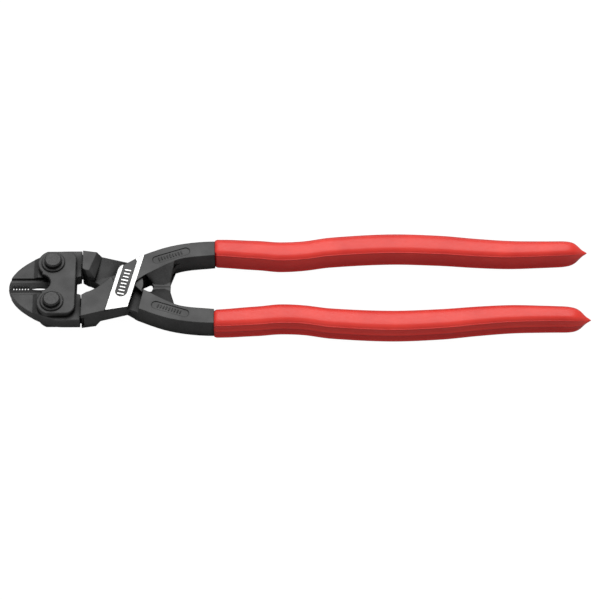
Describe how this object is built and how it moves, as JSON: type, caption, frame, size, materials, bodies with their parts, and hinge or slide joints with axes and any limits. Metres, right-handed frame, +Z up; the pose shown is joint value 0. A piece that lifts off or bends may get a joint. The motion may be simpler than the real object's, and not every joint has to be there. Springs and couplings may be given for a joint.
{
  "type": "bolt cutters",
  "caption": "Compact lever-action bolt cutters: short jaws between link plates, geared down through knuckles by long slim handles with dipped grips.",
  "frame": {"origin": "centre of the closed tool's box, on the surface that it lies on", "axes": "+X from the jaws to the grips, +Z up out of the marked side, +Y towards the upper handle"},
  "size_m": [0.25, 0.0502, 0.0154],
  "materials": {
    "forged_black": "drop-forged steel, black oxide, satin, with a ground bright band at the joint",
    "jaw_black": "forged and hardened steel, black oxide",
    "plate_black": "stamped steel plate, black oxide",
    "bolt_black": "turned steel, black oxide",
    "pin_steel": "ground steel",
    "grip_red": "dipped soft PVC, satin gloss"
  },
  "bodies": {
    "lower_handle": {"lower_lever": "forged_black", "lower_grip": "grip_red"},
    "upper_handle": {"upper_lever": "forged_black", "upper_grip": "grip_red", "joint_pin": "pin_steel"},
    "upper_jaw": {"upper_jaw": "jaw_black"},
    "lower_jaw": {"lower_jaw": "jaw_black"},
    "links": {"front_link_plate": "plate_black", "back_link_plate": "plate_black", "upper_jaw_bolt": "bolt_black", "lower_jaw_bolt": "bolt_black", "upper_bolt_collar": "bolt_black", "lower_bolt_collar": "bolt_black", "upper_bolt_nut": "bolt_black", "lower_bolt_nut": "bolt_black"}
  },
  "joints": [
    {"name": "handle_pivot", "type": "hinge", "parent": "lower_handle", "child": "upper_handle", "pos_m": [-0.075, 0, 0.0073], "axis": [0, 0, 1], "range_deg": [0, 22]},
    {"name": "lower_jaw_knuckle", "type": "hinge", "parent": "lower_handle", "child": "lower_jaw", "pos_m": [-0.0925, -0.0136, 0.0073], "axis": [0, 0, 1], "range_deg": [0, 26]},
    {"name": "upper_jaw_knuckle", "type": "hinge", "parent": "upper_handle", "child": "upper_jaw", "pos_m": [-0.0925, 0.0136, 0.0073], "axis": [0, 0, 1], "range_deg": [-26, 0]},
    {"name": "link_pivot", "type": "hinge", "parent": "lower_jaw", "child": "links", "pos_m": [-0.106, -0.0102, 0.0073], "axis": [0, 0, 1], "range_deg": [-15, 0]}
  ],
  "couplings": [
    {"joint": "lower_jaw_knuckle", "follows": "handle_pivot", "ratio": 1.175},
    {"joint": "upper_jaw_knuckle", "follows": "handle_pivot", "ratio": -1.175},
    {"joint": "link_pivot", "follows": "handle_pivot", "ratio": -0.675}
  ]
}
